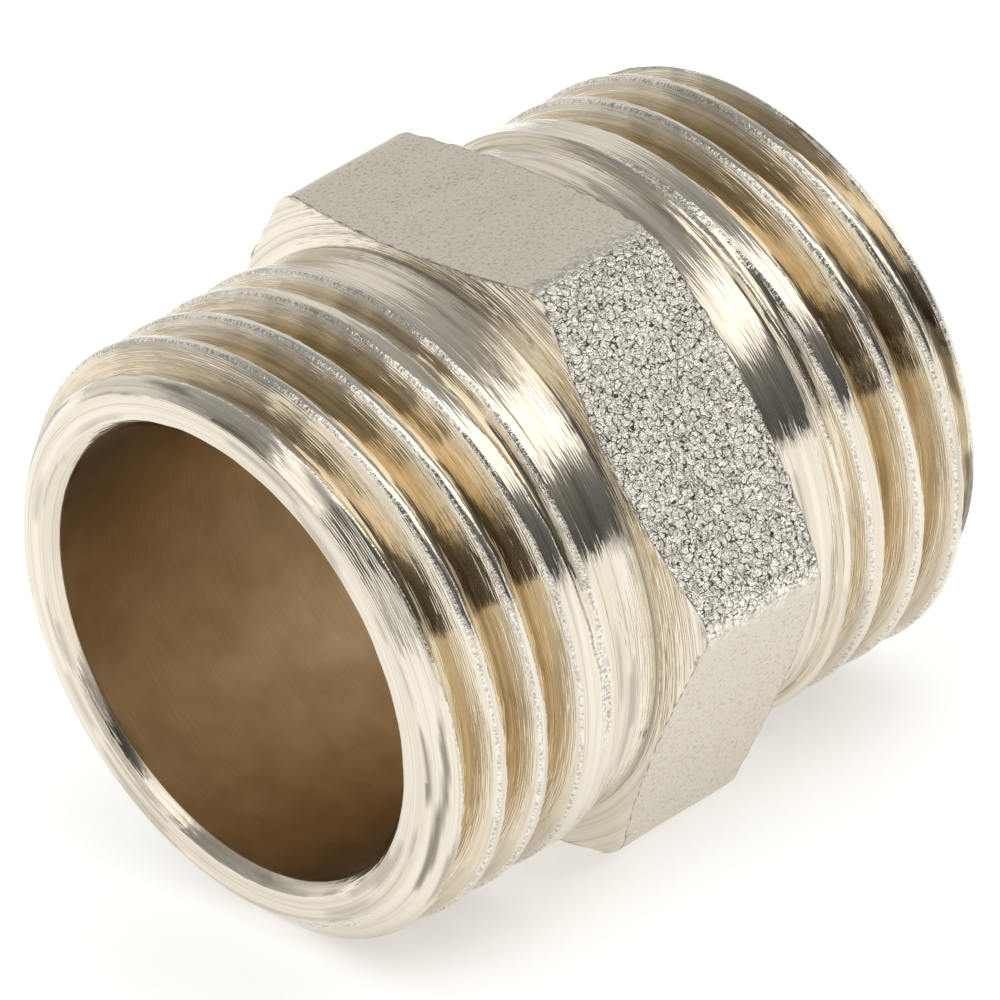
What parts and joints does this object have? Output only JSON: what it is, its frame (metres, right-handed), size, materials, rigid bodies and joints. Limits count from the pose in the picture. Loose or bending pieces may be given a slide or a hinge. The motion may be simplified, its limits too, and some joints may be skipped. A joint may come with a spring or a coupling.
{
  "type": "hex nipple",
  "caption": "Straight pipe fitting with a male G 1/2 thread at each end, a spanner hexagon between them and a plain bore from end to end.",
  "frame": {"origin": "on the pipe axis, at the middle of the length; the middle of the hexagon is 0.325 mm towards +X", "axes": "+X along the pipe axis, +Z out of one spanner flat; the part lies on the opposite flat"},
  "size_m": [0.0246, 0.024, 0.021],
  "materials": {
    "nickel_plate": "nickel plated brass: turned threads, necks, ends and bore, blasted forged flats"
  },
  "bodies": {
    "root": {"nipple_body": "nickel_plate"}
  },
  "joints": []
}
